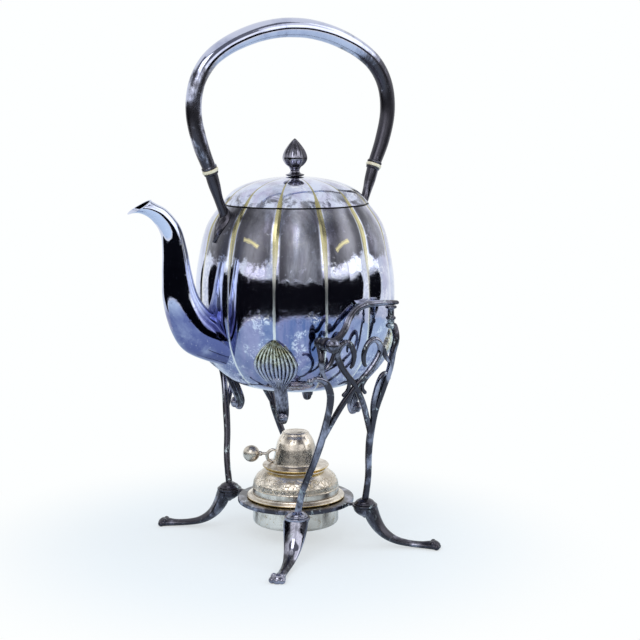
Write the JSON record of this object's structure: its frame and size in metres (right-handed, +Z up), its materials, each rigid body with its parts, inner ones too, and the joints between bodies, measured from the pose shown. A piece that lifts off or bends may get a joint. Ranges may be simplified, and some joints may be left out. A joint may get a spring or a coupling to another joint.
{
  "type": "spirit kettle",
  "caption": "Lobed tea kettle with a hinged lid and arched handle, tilting on a scrolled footed stand over a spirit burner with a lift-off snuffer.",
  "frame": {"origin": "on the table, below the middle of the whole outline; the kettle's axis stands 23 mm behind it", "axes": "+Z up, -X the way the spout points, -Y the kettle's right side as the picture sees it"},
  "size_m": [0.2276, 0.1962, 0.3938],
  "materials": {
    "silver_plate": "polished silver plate, lightly worn",
    "worn_silver": "worn silver plate over brass",
    "ivory_rings": "smooth pale insulating rings",
    "pale_silver": "polished, warm pale silver plate on brass",
    "brass": "plain brass",
    "cotton": "woven cotton wick"
  },
  "bodies": {
    "stand": {"stand_ring": "silver_plate", "side_frame_right": "silver_plate", "side_frame_left": "silver_plate", "pivot_blocks": "silver_plate", "rest_posts": "silver_plate", "node_caps": "silver_plate", "pendant_knobs": "worn_silver", "cabriole_legs": "silver_plate", "pivot_screw_right": "silver_plate", "pivot_screw_left": "silver_plate"},
    "kettle": {"kettle_body": "silver_plate", "spout": "silver_plate", "body_hinge_plate": "silver_plate", "lid_hinge_pin": "worn_silver", "handle_grip": "silver_plate", "insulator_rings": "ivory_rings", "front_handle_socket": "silver_plate", "rear_handle_socket": "silver_plate", "shell_feet": "worn_silver", "side_arm_right": "silver_plate", "side_arm_left": "silver_plate"},
    "lid": {"lid": "silver_plate", "lid_finial": "silver_plate", "finial_nut": "brass", "lid_hinge_plate": "silver_plate"},
    "burner": {"burner_pan": "pale_silver", "burner_rim": "pale_silver", "burner_shoulder": "pale_silver", "wick_tube": "brass", "wick": "cotton"},
    "snuffer": {"snuffer_cap": "pale_silver", "snuffer_scroll": "pale_silver", "snuffer_knob": "pale_silver"}
  },
  "joints": [
    {"name": "kettle_tilt", "type": "hinge", "parent": "stand", "child": "kettle", "pos_m": [-0.00648, 0, 0.166], "axis": [0, -1, 0], "range_deg": [0, 50]},
    {"name": "lid_hinge", "type": "hinge", "parent": "kettle", "child": "lid", "pos_m": [0.02302, 0.0581, 0.26045], "axis": [-1, 0, 0], "range_deg": [0, 95]},
    {"name": "burner_lift", "type": "slide", "parent": "stand", "child": "burner", "axis": [0, 0, 1], "range_m": [0, 0.014]},
    {"name": "snuffer_lift", "type": "slide", "parent": "burner", "child": "snuffer", "axis": [0, 0, 1], "range_m": [0, 0.012]}
  ]
}
